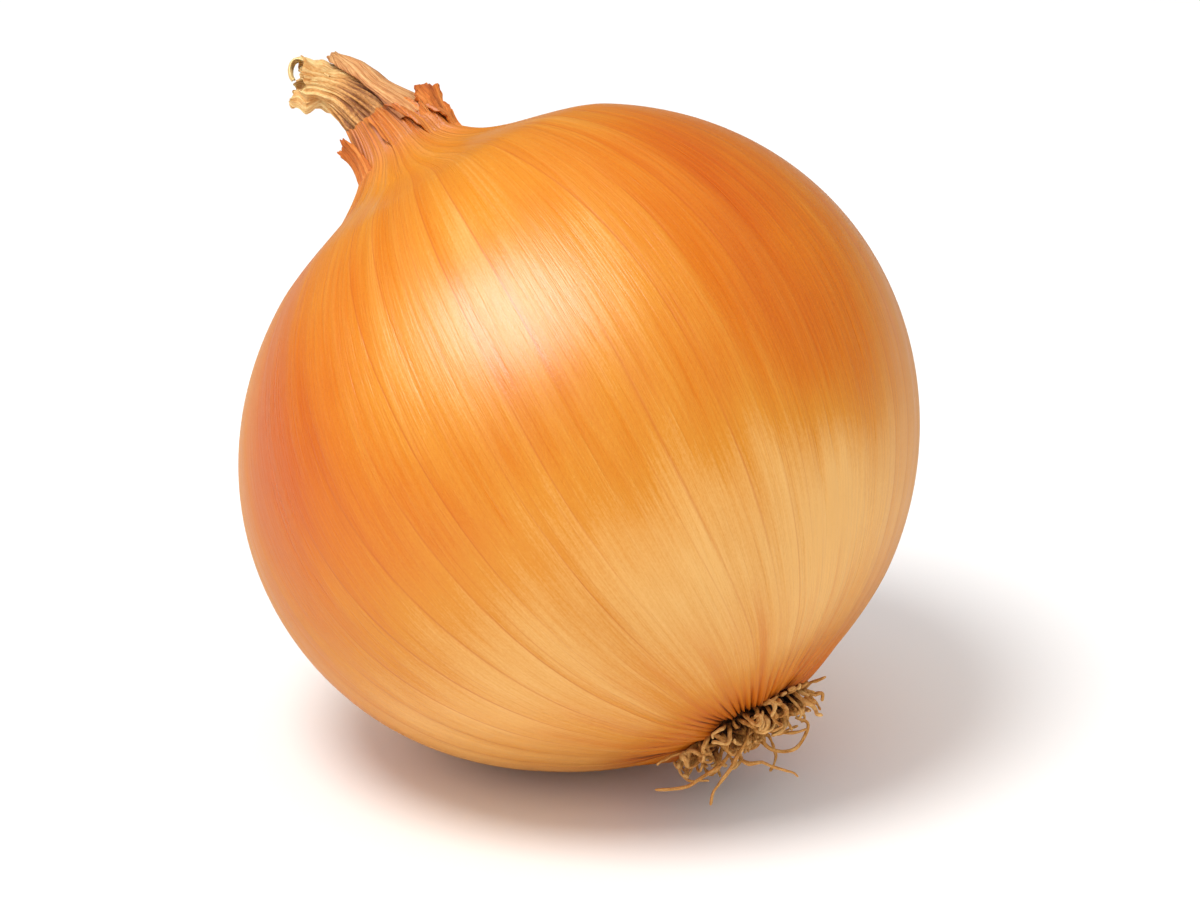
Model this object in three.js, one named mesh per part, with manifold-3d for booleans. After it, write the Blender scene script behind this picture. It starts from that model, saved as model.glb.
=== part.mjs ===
// A whole yellow onion as it lies on a table: the bulb leans over on a small flat spot, with its dry
// neck leaves pointing up and back to the left and its tuft of dry roots low down at the front right.
// Millimetres, +Z up. The origin is the centre of the flat spot, on the table.
//
// The onion is modelled in its own upright frame: +Z from the root end to the neck, +X towards the side
// that the neck bends to, and the origin in the middle of the bulb's widest section.

import * as THREE from "three";
import { mergeVertices } from "three/addons/utils/BufferGeometryUtils.js";
import Module from "manifold-3d";

const wasm = await Module();
wasm.setup();

// ---------------------------------------------------------------- driving dimensions

// How the onion lies, in degrees.
const LEAN = 41.7; // its axis from the vertical
const HEADING = 139.4; // where the neck points on the table, from +X
const SPIN = 44.8; // about its own axis
const REST_DEPTH = 0.85; // how much of the bulb the flat spot takes off

// Bulb.
const BULB_RADIUS = 39.95;
const ROOT_DEPTH = 37.85; // widest section to root end
const SHOULDER_HEIGHT = 37.05; // widest section to where the bulb would close without its neck
const SHOULDER_LATITUDE = 55; // where the bulb stops being round below the neck, in degrees
const WANDER = [-0.72, -0.2, 0.36, -1.2]; // how the middle of its section strays towards +X: the
// factors of the first to fourth power of its height over BULB_RADIUS
const ROUND_FROM = -31; // heights between which the middle strays so
const ROUND_TO = 34;
const ROOT_SHIFT = 0.5; // how far the root end lies to +X of where that leads
const NECK_SHIFT = 1.4; // the same for the neck
const SEGMENTS = 48;
const RING_STEPS = 6; // steps on a short curve of the outline; its long arcs have twice as many

// Neck.
const HOLLOW = [13.4, 34.18]; // radius and height where the shoulder starts to curve up to the neck
const HOLLOW_SLOPE = 20; // there, in degrees
const NECK_RADIUS = 6;
const NECK_FOOT = 39.3; // height where the hollow curve ends
const NECK_TOP_RADIUS = 3.3;
const NECK_TOP = 46.6;
const NECK_BEND = 0.018; // sideways bend of the neck, per square millimetre above the shoulder

// Dry leaves and torn skin around the neck.
const GAP = 0.35; // between pieces that touch
const LEAF_THICKNESS = 0.6;

// Root end.
const CROWN_RADIUS = 6.7;
const CROWN_THICKNESS = 2.2;
const STUB_COUNT = 44;
const STUB_LENGTH = 3.5;
const STUB_RADIUS = 0.55;
const ROOT_RADIUS = 0.3;
const ROOT_SIDES = 6;

const rad = THREE.MathUtils.degToRad;
const lerp = THREE.MathUtils.lerp;
const vec = (x, y, z) => new THREE.Vector3(x, y, z);

// ---------------------------------------------------------------- materials

const finish = (color, roughness) => new THREE.MeshStandardMaterial({ color, roughness, metalness: 0 });
const dryLeaf = finish(0xc98a4b, 0.75);
const MATERIALS = {
  skin: finish(0xe08a3c, 0.38),
  flap: finish(0xc9742e, 0.6),
  paleLeaf: finish(0xe8c58a, 0.7),
  dryLeaf,
  root: finish(0xb98a55, 0.85),
  crown: finish(0x8a6238, 0.9),
};

// ---------------------------------------------------------------- helpers

// Moves every vertex of a geometry and joins the vertices that meet.
function warp(geometry, move) {
  const bare = geometry.clone();
  bare.deleteAttribute("normal");
  bare.deleteAttribute("uv");
  const position = bare.getAttribute("position");
  const point = new THREE.Vector3();
  for (let i = 0; i < position.count; i++) {
    point.fromBufferAttribute(position, i);
    position.setXYZ(i, ...move(point).toArray());
  }
  const merged = mergeVertices(bare, 1e-4);
  merged.computeVertexNormals();
  return merged;
}

// A geometry as a solid that can be joined and cut.
function toSolid(geometry) {
  const merged = warp(geometry, (point) => point);
  return new wasm.Manifold(
    new wasm.Mesh({
      numProp: 3,
      vertProperties: new Float32Array(merged.getAttribute("position").array),
      triVerts: new Uint32Array(merged.index.array),
    }),
  );
}

// A solid as a geometry again.
function toGeometry(solid) {
  const mesh = solid.getMesh();
  const geometry = new THREE.BufferGeometry();
  geometry.setAttribute("position", new THREE.BufferAttribute(mesh.vertProperties, mesh.numProp));
  geometry.setIndex(new THREE.BufferAttribute(mesh.triVerts, 1));
  geometry.computeVertexNormals();
  return geometry;
}

// The largest body of a solid that a cut may have broken up.
function largestBody(solid) {
  return solid.decompose().reduce((best, body) => (body.volume() > best.volume() ? body : best));
}

// A tube with a round section along a curve.
function tubeAlong(points, radius, sides, steps) {
  const section = new THREE.Shape();
  for (let i = 0; i < sides; i++) {
    const angle = (2 * Math.PI * i) / sides;
    const corner = [radius * Math.cos(angle), radius * Math.sin(angle)];
    if (i === 0) section.moveTo(...corner);
    else section.lineTo(...corner);
  }
  const path = new THREE.CatmullRomCurve3(points);
  return new THREE.ExtrudeGeometry(section, { extrudePath: path, steps });
}

// A closed sheet: place(u, v, outer) gives the point at u along it and v across it, with outer 0 on
// its inner face and 1 on its outer face.
function sheet(alongSteps, acrossSteps, place) {
  const slab = new THREE.BoxGeometry(1, 1, 1, acrossSteps, alongSteps, 1);
  return warp(slab, (p) => place(p.y + 0.5, p.x + 0.5, p.z + 0.5));
}

function namedMesh(name, geometry, material) {
  const mesh = new THREE.Mesh(geometry, material);
  mesh.name = name;
  return mesh;
}

// ---------------------------------------------------------------- outline of the bulb and its neck

// Half of the lengthwise section, as radius and height, from the root end to the neck's top.
function bulbOutline() {
  const seatAngle = Math.acos((CROWN_RADIUS + 2 * GAP) / BULB_RADIUS);
  const seatHeight = -ROOT_DEPTH * Math.sin(seatAngle);
  const latitude = rad(SHOULDER_LATITUDE);
  const shoulder = [BULB_RADIUS * Math.cos(latitude), SHOULDER_HEIGHT * Math.sin(latitude)];
  const inward = [-BULB_RADIUS * Math.sin(latitude), SHOULDER_HEIGHT * Math.cos(latitude)];
  const upward = [-Math.cos(rad(HOLLOW_SLOPE)), Math.sin(rad(HOLLOW_SLOPE))];
  const beyond = ([x, y], [dx, dy], distance) => {
    const factor = distance / Math.hypot(dx, dy);
    return [x + factor * dx, y + factor * dy];
  };
  const outline = new THREE.Path();
  outline.moveTo(0, seatHeight);
  outline.lineTo(CROWN_RADIUS + 2 * GAP, seatHeight);
  outline.absellipse(0, 0, BULB_RADIUS, ROOT_DEPTH, -seatAngle, 0);
  outline.absellipse(0, 0, BULB_RADIUS, SHOULDER_HEIGHT, 0, latitude);
  outline.bezierCurveTo(...beyond(shoulder, inward, 2.4), ...beyond(HOLLOW, upward, -3.6), ...HOLLOW);
  outline.bezierCurveTo(
    ...beyond(HOLLOW, upward, 2.6),
    NECK_RADIUS + 1.2,
    NECK_FOOT - 2.2,
    NECK_RADIUS,
    NECK_FOOT,
  );
  outline.bezierCurveTo(
    NECK_RADIUS - 1.2,
    NECK_FOOT + 2.2,
    NECK_TOP_RADIUS + 0.9,
    NECK_TOP - 2.4,
    NECK_TOP_RADIUS,
    NECK_TOP,
  );
  outline.lineTo(0, NECK_TOP + 0.4);
  return outline.getPoints(RING_STEPS);
}

const OUTLINE = bulbOutline();

// Radius of the neck at a height above the shoulder.
function neckRadius(height) {
  const i = OUTLINE.findIndex((p, k) => k > 0 && p.y >= height && p.y > SHOULDER_HEIGHT);
  if (i < 0) return NECK_TOP_RADIUS;
  const [low, high] = [OUTLINE[i - 1], OUTLINE[i]];
  return lerp(low.x, high.x, THREE.MathUtils.clamp((height - low.y) / (high.y - low.y), 0, 1));
}

// How far the middle of a section lies towards +X.
function middleAt(height) {
  const u = THREE.MathUtils.clamp(height, ROUND_FROM, ROUND_TO) / BULB_RADIUS;
  const strayed = WANDER.reduce((sum, factor, power) => sum + factor * u ** (power + 1), 0);
  const root = ROOT_SHIFT * THREE.MathUtils.smoothstep(-height, -ROUND_FROM, ROOT_DEPTH);
  const neck = NECK_SHIFT * THREE.MathUtils.smoothstep(height, ROUND_TO - 3, ROUND_TO + 3);
  return strayed + root + neck + NECK_BEND * Math.max(0, height - ROUND_TO - 3.5) ** 2;
}

// The bulb grows a little unevenly: broad, shallow lobes that fade out towards both ends.
function lobes(angle, height) {
  const fade = Math.max(0, 1 - (height / SHOULDER_HEIGHT) ** 2);
  return 1 + fade * (0.006 * Math.sin(2 * angle) + 0.004 * Math.sin(3 * angle));
}

// ---------------------------------------------------------------- how the onion lies

function onionGroup() {
  const heading = new THREE.Group();
  const lean = new THREE.Group();
  const spin = new THREE.Group();
  heading.rotation.z = rad(HEADING);
  lean.rotation.y = rad(LEAN);
  spin.rotation.z = rad(SPIN);
  heading.add(lean);
  lean.add(spin);
  return { heading, spin };
}

// ---------------------------------------------------------------- bulb

function bulbGeometry() {
  const lathe = new THREE.LatheGeometry(OUTLINE, SEGMENTS);
  lathe.rotateX(Math.PI / 2);
  return warp(lathe, (p) => {
    const angle = Math.atan2(p.y, p.x);
    const radius = Math.hypot(p.x, p.y) * lobes(angle, p.z);
    return vec(middleAt(p.z) + radius * Math.cos(angle), radius * Math.sin(angle), p.z);
  });
}

// ---------------------------------------------------------------- neck leaves and torn skin

// A point beside the neck: at a height and an angle, and a distance off its skin.
function besideNeck(height, angle, distance) {
  const radius = neckRadius(height) + distance;
  return vec(middleAt(height) + radius * Math.cos(angle), radius * Math.sin(angle), height);
}

// A torn tongue of the outer skin. It starts on the neck, and its ragged tip peels away.
function skinFlap({ angle, width, foot, length, off, peel, teeth }) {
  return sheet(6, Math.round(width / 6) + 3, (u, v, outer) => {
    const ragged = 0.84 + 0.16 * Math.sin(teeth * Math.PI * v + 0.7);
    const narrowed = lerp(1, 0.75, u) * (v - 0.5);
    const height = foot + length * u * ragged;
    const distance = GAP + off + peel * u ** 1.3 + outer * LEAF_THICKNESS;
    return besideNeck(height, rad(angle + width * narrowed), distance);
  });
}

const SKIN_FLAPS = [
  { name: "skin_flap_left", angle: 16, width: 40, foot: 38.4, length: 6.2, off: 0, peel: 0.7, teeth: 3 },
  { name: "skin_flap_front", angle: 90, width: 34, foot: 38.4, length: 6.4, off: 0, peel: 0.3, teeth: 5 },
  { name: "skin_layer_right", angle: 170, width: 120, foot: 37.6, length: 6.2, off: 0, peel: 0, teeth: 9 },
  { name: "skin_flap_right", angle: 197, width: 52, foot: 39, length: 5.8, off: 1, peel: 1.9, teeth: 4 },
  { name: "skin_flap_back_right", angle: 252, width: 34, foot: 38.4, length: 5.6, off: 0, peel: 0.9, teeth: 3 },
  { name: "skin_flap_back", angle: 306, width: 56, foot: 38.2, length: 6.4, off: 0, peel: 0.5, teeth: 5 },
];

// The line that the dry leaves follow beyond the neck: on from its top, then over to the +X side.
const LEAF_LINE = new THREE.CatmullRomCurve3([
  vec(middleAt(NECK_FOOT + 3.4), 0, NECK_FOOT + 3.4),
  vec(middleAt(NECK_TOP - 1), 0, NECK_TOP - 1),
  vec(2.5, 0.1, NECK_TOP + 0.9),
  vec(3.7, 0.3, NECK_TOP + 2.5),
  vec(5.4, 0.6, NECK_TOP + 4.4),
  vec(7.2, 0.8, NECK_TOP + 6.1),
]);
const LEAF_START = 0.3; // where that line enters the neck's top, as a share of it

// A point off the leaf line: at a share of it, an angle round it and a distance from it.
function besideLeafLine(share, angle, distance) {
  const along = LEAF_LINE.getTangentAt(share);
  const across = vec(along.z, 0, -along.x).normalize();
  const towardsFront = new THREE.Vector3().crossVectors(along, across);
  return LEAF_LINE.getPointAt(share)
    .addScaledVector(across, distance * Math.cos(angle))
    .addScaledVector(towardsFront, distance * Math.sin(angle));
}

// The pale inner leaf: a crumpled, folded stub that flares towards its ragged end.
function innerLeaf() {
  const tube = new THREE.CylinderGeometry(1, 1, 1, 28, 10);
  const leaf = warp(tube, (p) => {
    const u = p.y + 0.5;
    const angle = Math.atan2(p.z, p.x);
    const spread = Math.hypot(p.x, p.z);
    const folds = 1 + 0.1 * Math.sin(5 * angle + 2 * u) + 0.05 * Math.sin(9 * angle - 3 * u);
    const wide = (2.1 + 1.1 * Math.max(0, 1 - 1.8 * u) + 0.4 * u) * folds;
    const deep = (1.7 + 1.5 * Math.max(0, 1 - 1.8 * u) - 0.2 * u) * folds;
    const ragged = spread * 0.035 * u * Math.sin(4 * angle + 0.5);
    const share = lerp(LEAF_START, 0.94, u) + ragged;
    const distance = spread * Math.hypot(wide * Math.cos(angle), deep * Math.sin(angle));
    return besideLeafLine(share, -angle, distance);
  });
  return toGeometry(toSolid(leaf).trimByPlane([0, 0, 1], NECK_TOP + GAP));
}

// The brown outer leaf: a stiff curved strip along the far side of the inner one.
function outerLeaf() {
  return sheet(12, 12, (u, v, outer) => {
    const share = lerp(0.02, 0.76, u * (0.9 + 0.1 * Math.sin(3 * Math.PI * v + 0.4)));
    const angle = rad(lerp(lerp(102, 236, v), lerp(126, 206, v), u ** 2));
    const distance = lerp(neckRadius(NECK_FOOT + 3.4) + GAP, 3.8, Math.min(1, 1.4 * u));
    return besideLeafLine(share, angle, distance + outer * LEAF_THICKNESS);
  });
}

// ---------------------------------------------------------------- roots

// The long roots, as the points that each one passes through: +X and +Y as the onion's own frame,
// and the third number the distance out from the crown's seat.
const LONG_ROOTS = [
  {
    name: "root_left_low",
    points: [[3.4, 3.2, 1.4], [4.6, 4, 1], [6.7, 4.2, 0.5], [8.4, 4.2, -0.1], [10.1, 4.1, -0.4], [11.1, 4, -0.3]],
  },
  {
    name: "root_left_long",
    points: [[1.9, 4, 1.2], [3.8, 4.8, 3], [6.9, 5.4, 3.7], [9, 5.6, 3.8], [11.1, 5.6, 2.9], [12.5, 5.6, 2.2]],
  },
  {
    name: "root_down",
    points: [[-0.4, 4, 1.2], [1, 5, 2.7], [2.2, 5.4, 3.4], [3.8, 5.8, 4.5], [6.7, 6.6, 5.9], [7.9, 7, 6.9]],
  },
  {
    name: "root_front_right",
    points: [[1.3, 1.5, 1.2], [2.3, 2.8, 4], [0.4, 4, 5.9], [-0.9, 4.4, 7.1], [-1.9, 4.7, 8.2], [-2.1, 4.7, 9.1]],
  },
  {
    name: "root_left_loop",
    points: [[4.2, 1.2, 1.2], [6, 1.4, 1.3], [7.8, 1.5, 0.8], [9.1, 1.5, 1.8], [8.6, 1.6, 3.2], [6.7, 1.8, 4.1]],
  },
  {
    name: "root_right_arc",
    points: [[-0.6, 1, 1.2], [-1.2, 0.8, 4.4], [-3.2, 0.6, 5.8], [-5, 0.4, 5.4], [-6.3, 0.2, 4.1], [-5.4, 0.2, 3]],
  },
  {
    name: "root_right_short",
    points: [[-1.6, 2.2, 1.2], [-2.6, 2.4, 3.5], [-4, 2.4, 4.3], [-5.6, 2.4, 4.9]],
  },
  {
    name: "root_right_hook",
    points: [[-4.6, 0, 1.3], [-6.9, 0, 1.7], [-8.4, 0, 1.6], [-9.3, 0, 2.2], [-9, 0, 3]],
  },
  {
    name: "root_right_tip",
    points: [[-4.4, -1.8, 1.2], [-6.6, -1.8, 0.9], [-7.9, -1.6, 0.5], [-9.2, -1.4, 0.4], [-10.6, -1.2, 0.7]],
  },
  {
    name: "root_back",
    points: [[-1, -3.4, 1.2], [-1.6, -4.8, 3.4], [-1, -5.8, 5.2], [0.4, -6.4, 6.4]],
  },
  {
    name: "root_back_left",
    points: [[3, -3.4, 1.2], [4.2, -4.6, 2], [5.2, -5.6, 2.8], [5.4, -6.2, 3.8]],
  },
];

const SEAT_HEIGHT = OUTLINE[0].y;

function rootPath(points) {
  return points.map(([x, y, out]) => vec(middleAt(SEAT_HEIGHT) + x, y, SEAT_HEIGHT - GAP - out));
}

function longRoot(points, radius) {
  return tubeAlong(rootPath(points), radius, ROOT_SIDES, 2 * points.length);
}

// One short dry root of the tuft, curling away from the crown's middle.
function rootStub(index) {
  const spread = Math.sqrt((index + 0.5) / STUB_COUNT);
  const angle = index * Math.PI * (3 - Math.sqrt(5));
  const outward = vec(Math.cos(angle), Math.sin(angle), 0);
  const sideways = vec(-Math.sin(angle), Math.cos(angle), 0);
  const foot = outward.clone().multiplyScalar(0.9 * CROWN_RADIUS * spread);
  foot.add(vec(middleAt(SEAT_HEIGHT), 0, SEAT_HEIGHT - GAP - 0.45 * CROWN_THICKNESS));
  const splay = rad(62 * spread ** 2);
  const curl = Math.sin(2.4 * index);
  const length = STUB_LENGTH * (0.8 + 0.3 * Math.sin(1.7 * index));
  const cone = new THREE.CylinderGeometry(0.55 * STUB_RADIUS, STUB_RADIUS, 1, 5, 3);
  return warp(cone, (p) => {
    const u = p.y + 0.5;
    const out = length * u * Math.sin(splay) + 0.5 * u * u * spread;
    const down = length * u * Math.cos(splay);
    return foot
      .clone()
      .addScaledVector(outward, out + p.x * Math.cos(splay))
      .addScaledVector(sideways, p.z + 0.9 * curl * u * u)
      .add(vec(0, 0, -down + p.x * Math.sin(splay)));
  });
}

// The root crown: the hard disc at the base of the bulb with its mat of short roots, and a hole for
// each long root.
function rootCrown() {
  const disc = new THREE.SphereGeometry(1, 28, 10);
  const button = warp(disc, (p) =>
    vec(
      middleAt(SEAT_HEIGHT) + CROWN_RADIUS * p.x,
      CROWN_RADIUS * p.y,
      SEAT_HEIGHT - GAP - 0.5 * CROWN_THICKNESS * (1 - p.z),
    ),
  );
  let solid = toSolid(button);
  for (let i = 0; i < STUB_COUNT; i++) solid = solid.add(toSolid(rootStub(i)));
  for (const { points } of LONG_ROOTS) solid = solid.subtract(toSolid(longRoot(points, ROOT_RADIUS + GAP)));
  return toGeometry(largestBody(solid));
}

// ---------------------------------------------------------------- the whole onion

function buildOnion() {
  const onion = new THREE.Group();
  const { heading, spin } = onionGroup();
  onion.add(heading);
  for (const { name, ...flap } of SKIN_FLAPS) {
    spin.add(namedMesh(name, skinFlap(flap), MATERIALS.flap));
  }
  spin.add(namedMesh("neck_leaf_inner", innerLeaf(), MATERIALS.paleLeaf));
  spin.add(namedMesh("neck_leaf_outer", outerLeaf(), MATERIALS.dryLeaf));
  spin.add(namedMesh("root_crown", rootCrown(), MATERIALS.crown));
  for (const { name, points } of LONG_ROOTS) {
    spin.add(namedMesh(name, longRoot(points, ROOT_RADIUS), MATERIALS.root));
  }
  restOnTable(onion, heading, spin);
  return onion;
}

// Sets the onion down, and adds the bulb with its lowest part cut off flat at the table.
function restOnTable(onion, heading, spin) {
  onion.updateMatrixWorld(true);
  const bulb = bulbGeometry().applyMatrix4(spin.matrixWorld);
  const position = bulb.getAttribute("position");
  const lowest = vec(0, 0, Infinity);
  for (let i = 0; i < position.count; i++) {
    if (position.getZ(i) < lowest.z) lowest.fromBufferAttribute(position, i);
  }
  const lift = vec(-lowest.x, -lowest.y, -lowest.z - REST_DEPTH);
  heading.position.copy(lift);
  bulb.translate(...lift.toArray());
  const underTable = new THREE.BoxGeometry(4 * BULB_RADIUS, 4 * BULB_RADIUS, BULB_RADIUS);
  underTable.translate(0, 0, -BULB_RADIUS / 2);
  onion.add(namedMesh("bulb", toGeometry(toSolid(bulb).subtract(toSolid(underTable))), MATERIALS.skin));
}

export default buildOnion();
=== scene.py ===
"""The looks of a whole yellow onion that lies on a pale table.

The onion is drawn in its own upright frame, in millimetres: +Z from the root end to the neck, +X
towards the side that the neck bends to, and the origin in the middle of the widest section. to_row()
turns that into the row frame, in metres, and the place comes from the CAD bulb's box.
"""

import math

import bpy
import numpy as np
from mathutils import Matrix, Vector


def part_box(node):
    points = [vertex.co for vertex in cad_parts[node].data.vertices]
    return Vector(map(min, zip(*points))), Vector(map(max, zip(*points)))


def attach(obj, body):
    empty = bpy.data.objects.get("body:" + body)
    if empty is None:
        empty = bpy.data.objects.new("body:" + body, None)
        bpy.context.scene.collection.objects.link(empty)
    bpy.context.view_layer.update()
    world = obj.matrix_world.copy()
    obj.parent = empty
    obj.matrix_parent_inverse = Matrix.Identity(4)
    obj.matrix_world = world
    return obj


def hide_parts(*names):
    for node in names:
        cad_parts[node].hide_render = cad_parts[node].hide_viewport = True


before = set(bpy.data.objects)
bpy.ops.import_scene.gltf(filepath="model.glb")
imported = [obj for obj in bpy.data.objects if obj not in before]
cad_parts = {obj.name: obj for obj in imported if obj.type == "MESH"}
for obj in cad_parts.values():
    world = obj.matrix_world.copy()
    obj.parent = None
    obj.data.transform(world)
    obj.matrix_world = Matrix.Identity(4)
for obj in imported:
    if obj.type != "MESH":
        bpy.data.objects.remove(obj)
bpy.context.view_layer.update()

TAU = 2 * math.pi
MM = 0.001
BODY = "root"

# ---------------------------------------------------------------- the onion's dimensions, as in the CAD

LEAN = math.radians(41.7)
HEADING = math.radians(139.4)
SPIN = math.radians(44.8)
BULB_RADIUS = 39.95
ROOT_DEPTH = 37.85
SHOULDER_HEIGHT = 37.05
SHOULDER_LATITUDE = math.radians(55)
WANDER = (-0.72, -0.2, 0.36, -1.2)
ROUND_FROM = -31
ROUND_TO = 34
ROOT_SHIFT = 0.5
NECK_SHIFT = 1.4
HOLLOW = (13.4, 34.18)
HOLLOW_SLOPE = math.radians(20)
NECK_RADIUS = 6
NECK_FOOT = 39.3
NECK_TOP_RADIUS = 3.3
NECK_TOP = 46.6
NECK_BEND = 0.018
SEAT_RADIUS = 7.4

SEAT_ANGLE = math.acos(SEAT_RADIUS / BULB_RADIUS)
SEAT_HEIGHT = -ROOT_DEPTH * math.sin(SEAT_ANGLE)

# ---------------------------------------------------------------- shape helpers


def bezier(start, pull_a, pull_b, end, count):
    """Points of a cubic Bezier curve, without its first one."""
    t = np.linspace(0, 1, count + 1)[1:, None]
    a, b, c, d = (np.array(p, float) for p in (start, pull_a, pull_b, end))
    return (1 - t) ** 3 * a + 3 * (1 - t) ** 2 * t * b + 3 * (1 - t) * t**2 * c + t**3 * d


def ellipse_arc(height, first, last, count):
    """Points (radius, height) on the bulb's section between two latitudes."""
    t = np.linspace(first, last, count)
    return np.stack([BULB_RADIUS * np.cos(t), height * np.sin(t)], 1)


def bulb_outline():
    """The bulb's outline as (radius, height), from the rim of the root seat to the top of the neck."""
    lower = ellipse_arc(ROOT_DEPTH, -SEAT_ANGLE, 0, 200)
    upper = ellipse_arc(SHOULDER_HEIGHT, 0, SHOULDER_LATITUDE, 160)[1:]
    shoulder, hollow = upper[-1], np.array(HOLLOW)
    inward = np.array(
        [-BULB_RADIUS * math.sin(SHOULDER_LATITUDE), SHOULDER_HEIGHT * math.cos(SHOULDER_LATITUDE)]
    )
    inward /= np.linalg.norm(inward)
    upward = np.array([-math.cos(HOLLOW_SLOPE), math.sin(HOLLOW_SLOPE)])
    foot = (NECK_RADIUS, NECK_FOOT)
    top = (NECK_TOP_RADIUS, NECK_TOP)
    before_neck = (NECK_RADIUS + 1.2, NECK_FOOT - 2.2)
    crest = bezier(shoulder, shoulder + 2.4 * inward, hollow - 3.6 * upward, hollow, 50)
    curve = bezier(hollow, hollow + 2.6 * upward, before_neck, foot, 50)
    after_foot = (NECK_RADIUS - 1.2, NECK_FOOT + 2.2)
    below_top = (NECK_TOP_RADIUS + 0.9, NECK_TOP - 2.4)
    neck = bezier(foot, after_foot, below_top, top, 60)
    return np.concatenate([lower, upper, crest, curve, neck])


OUTLINE = bulb_outline()
WIDEST_ROW = int(np.argmax(OUTLINE[:, 0]))


def neck_radius(height):
    """Radius of the neck or the shoulder at a height above the widest section."""
    above = OUTLINE[WIDEST_ROW:]
    return np.interp(height, above[:, 1], above[:, 0])


def smooth(low, high, value):
    """0 below low, 1 above high, and a smooth step between."""
    t = np.clip((value - low) / (high - low), 0, 1)
    return t * t * (3 - 2 * t)


def middle_at(height):
    """How far the middle of a section lies towards +X."""
    u = np.clip(height, ROUND_FROM, ROUND_TO) / BULB_RADIUS
    strayed = sum(factor * u ** (power + 1) for power, factor in enumerate(WANDER))
    root = ROOT_SHIFT * smooth(-ROUND_FROM, ROOT_DEPTH, -height)
    neck = NECK_SHIFT * smooth(ROUND_TO - 3, ROUND_TO + 3, height)
    return strayed + root + neck + NECK_BEND * np.maximum(0, height - ROUND_TO - 3.5) ** 2


def lobes(angle, height):
    """The bulb's uneven growth, as a factor on its radius."""
    fade = np.maximum(0, 1 - (height / SHOULDER_HEIGHT) ** 2)
    return 1 + fade * (0.006 * np.sin(2 * angle) + 0.004 * np.sin(3 * angle))


def waves(angle, along, counts, seed, drift=0.0):
    """Uneven waves round a closed section, of about unit height, that wander as they run along it."""
    rng = np.random.default_rng(seed)
    total = 0
    for count in counts:
        total = total + np.cos(count * angle + rng.uniform(0, TAU) + drift * rng.normal() * along)
    return total * math.sqrt(2 / len(counts))


def creases(angle, along, counts, seed, drift=0.0):
    """Rounded folds with sharp creases between them, from 0 in a crease to about 1."""
    return np.abs(waves(angle, along, counts, seed, drift))


def torn(across, count, seed, closed=False):
    """A torn edge: how much is left, from 0 to 1, at each place across a strip or round a ring."""
    rng = np.random.default_rng(seed)
    left = rng.uniform(0, 1, count)
    if closed:
        left[-1] = left[0]
    return np.interp(across, np.linspace(0, 1, count), left)


# ---------------------------------------------------------------- from the onion's frame to the row's

TURN = np.array(
    Matrix.Rotation(HEADING, 3, "Z") @ Matrix.Rotation(LEAN, 3, "Y") @ Matrix.Rotation(SPIN, 3, "Z")
)


def body_shape(rows, columns):
    """A plain bulb, to be laid on the CAD one."""
    radius, height = OUTLINE[:: len(OUTLINE) // rows].T[:, :, None]
    angle = np.linspace(0, TAU, columns, endpoint=False)[None, :]
    radius = radius * lobes(angle, height)
    x = middle_at(height) + radius * np.cos(angle)
    return np.stack([x, radius * np.sin(angle), np.broadcast_to(height, x.shape)], -1).reshape(-1, 3)


MIDDLE = np.array(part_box("bulb")[1]) - (body_shape(120, 240) @ TURN.T * MM).max(0)


def to_row(points):
    return np.asarray(points, float) @ TURN.T * MM + MIDDLE


def height_over_table(points):
    """Height in millimetres over the table of points in the onion's frame."""
    return to_row(points)[..., 2] / MM


def lifted(points, clearance):
    """The points, with those too near the table raised to the clearance."""
    short = np.maximum(0, clearance - height_over_table(points))
    return points + short[..., None] * TURN[2]


# ---------------------------------------------------------------- mesh helpers


def grid_faces(rows, columns, closed, start=0):
    """Quads of a grid of points, row by row; closed joins its last column to its first."""
    across = columns if closed else columns - 1
    i, j = np.meshgrid(np.arange(rows - 1), np.arange(across), indexing="ij")
    after = (j + 1) % columns
    a, b = i * columns + j, i * columns + after
    return start + np.stack([a, b, b + columns, a + columns], -1).reshape(-1, 4)


def add_piece(name, points, faces, material, stands_for=(), material_slot=None, **attributes):
    """One visible piece, from points in the onion's frame."""
    mesh = bpy.data.meshes.new(name)
    mesh.from_pydata(to_row(points).tolist(), [], [list(map(int, f)) for f in faces])
    for key, values in attributes.items():
        values = np.asarray(values, np.float32)
        vector = values.ndim == 2
        layer = mesh.attributes.new(key, "FLOAT_VECTOR" if vector else "FLOAT", "POINT")
        layer.data.foreach_set("vector" if vector else "value", values.ravel())
    mesh.validate()
    mesh.shade_smooth()
    mesh.materials.append(material)
    piece = bpy.data.objects.new(name, mesh)
    bpy.context.scene.collection.objects.link(piece)
    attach(piece, BODY)
    if stands_for:
        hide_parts(*stands_for)
    return piece


def sharpen(piece, degrees):
    """Marks the edges that bend more than an angle as sharp."""
    piece.data.set_sharp_from_angle(angle=math.radians(degrees))


def closed_sheet(outer, inner):
    """Points and faces of a thin sheet, from two grids of points for its two sides."""
    rows, columns = outer.shape[:2]
    count = rows * columns
    points = np.concatenate([outer.reshape(-1, 3), inner.reshape(-1, 3)])
    front = grid_faces(rows, columns, False)
    back = grid_faces(rows, columns, False, count)[:, ::-1]
    last_row = (rows - 1) * columns
    loop = np.concatenate(
        [
            np.arange(columns),
            np.arange(1, rows) * columns + columns - 1,
            last_row + np.arange(columns - 2, -1, -1),
            np.arange(rows - 2, 0, -1) * columns,
        ]
    )
    after = np.roll(loop, -1)
    rim = np.stack([loop, loop + count, after + count, after], -1)
    return points, np.concatenate([front, back, rim])


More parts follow.
